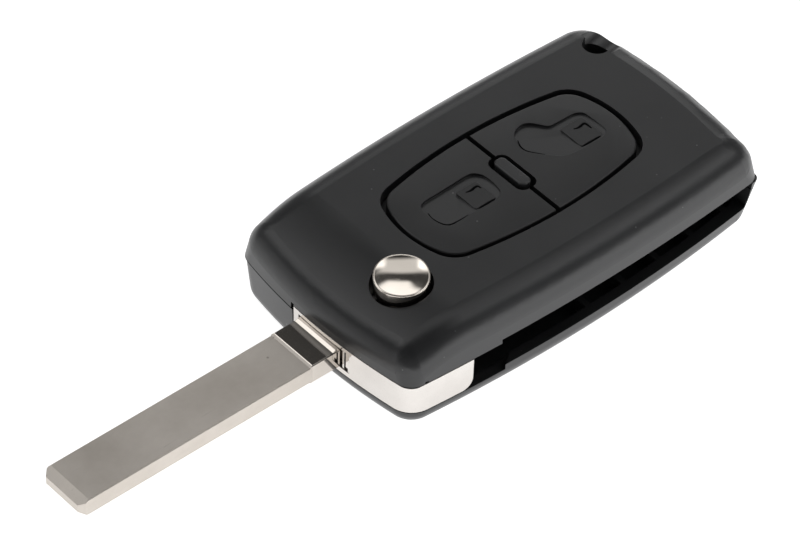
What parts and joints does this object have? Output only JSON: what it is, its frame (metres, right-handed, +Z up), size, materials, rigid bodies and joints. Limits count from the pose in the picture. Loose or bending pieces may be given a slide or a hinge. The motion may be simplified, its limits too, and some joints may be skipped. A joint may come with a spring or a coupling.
{
  "type": "key fob shell",
  "caption": "Empty flip-key fob shell with swinging uncut blade, metal head and release button, and lock and unlock caps.",
  "frame": {"origin": "centre of the flat underside of the case, in the middle of its length and width", "axes": "+Z up through the buttons; -X along the unfolded blade; the blade slot is on the -Y side; the key-ring eye is at +X, +Y"},
  "size_m": [0.1146, 0.04, 0.0168],
  "materials": {
    "case_plastic": "fine eroded satin, moulded",
    "cap_plastic": "matte, moulded",
    "inner_plastic": "plain moulded",
    "silicone": "smooth moulded silicone",
    "plated_metal": "polished nickel plate",
    "blade_steel": "satin nickel-plated blank with fine scratches",
    "spring_steel": "drawn wire and strip"
  },
  "bodies": {
    "case": {"upper_shell": "case_plastic", "lower_shell": "case_plastic", "case_screw": "spring_steel", "divider_bar": "cap_plastic", "keypad_membrane": "silicone", "keypad_retainer": "inner_plastic", "circuit_tray": "inner_plastic", "battery_contact_positive": "spring_steel", "battery_contact_negative": "spring_steel", "spring_seat": "spring_steel"},
    "head": {"blade_head": "plated_metal", "key_blade": "blade_steel", "blade_pin": "spring_steel", "thrust_washer": "spring_steel", "flip_spring": "spring_steel"},
    "release": {"release_button": "plated_metal", "release_plunger": "inner_plastic"},
    "lock_cap": {"lock_button": "cap_plastic"},
    "unlock_cap": {"unlock_button": "cap_plastic"}
  },
  "joints": [
    {"name": "blade_flip", "type": "hinge", "parent": "case", "child": "head", "pos_m": [-0.02465, -0.0067, 0.0057], "axis": [0, 0, 1], "range_deg": [0, 180]},
    {"name": "release_press", "type": "slide", "parent": "head", "child": "release", "axis": [0, 0, -1], "range_m": [0, 0.002], "stiffness_N_per_m": 800, "springref_m": -0.0005, "deforming": ["flip_spring"]},
    {"name": "lock_press", "type": "slide", "parent": "case", "child": "lock_cap", "axis": [0, 0, -1], "range_m": [0, 0.0005], "stiffness_N_per_m": 2000, "springref_m": -0.0002},
    {"name": "unlock_press", "type": "slide", "parent": "case", "child": "unlock_cap", "axis": [0, 0, -1], "range_m": [0, 0.0005], "stiffness_N_per_m": 2000, "springref_m": -0.0002}
  ]
}
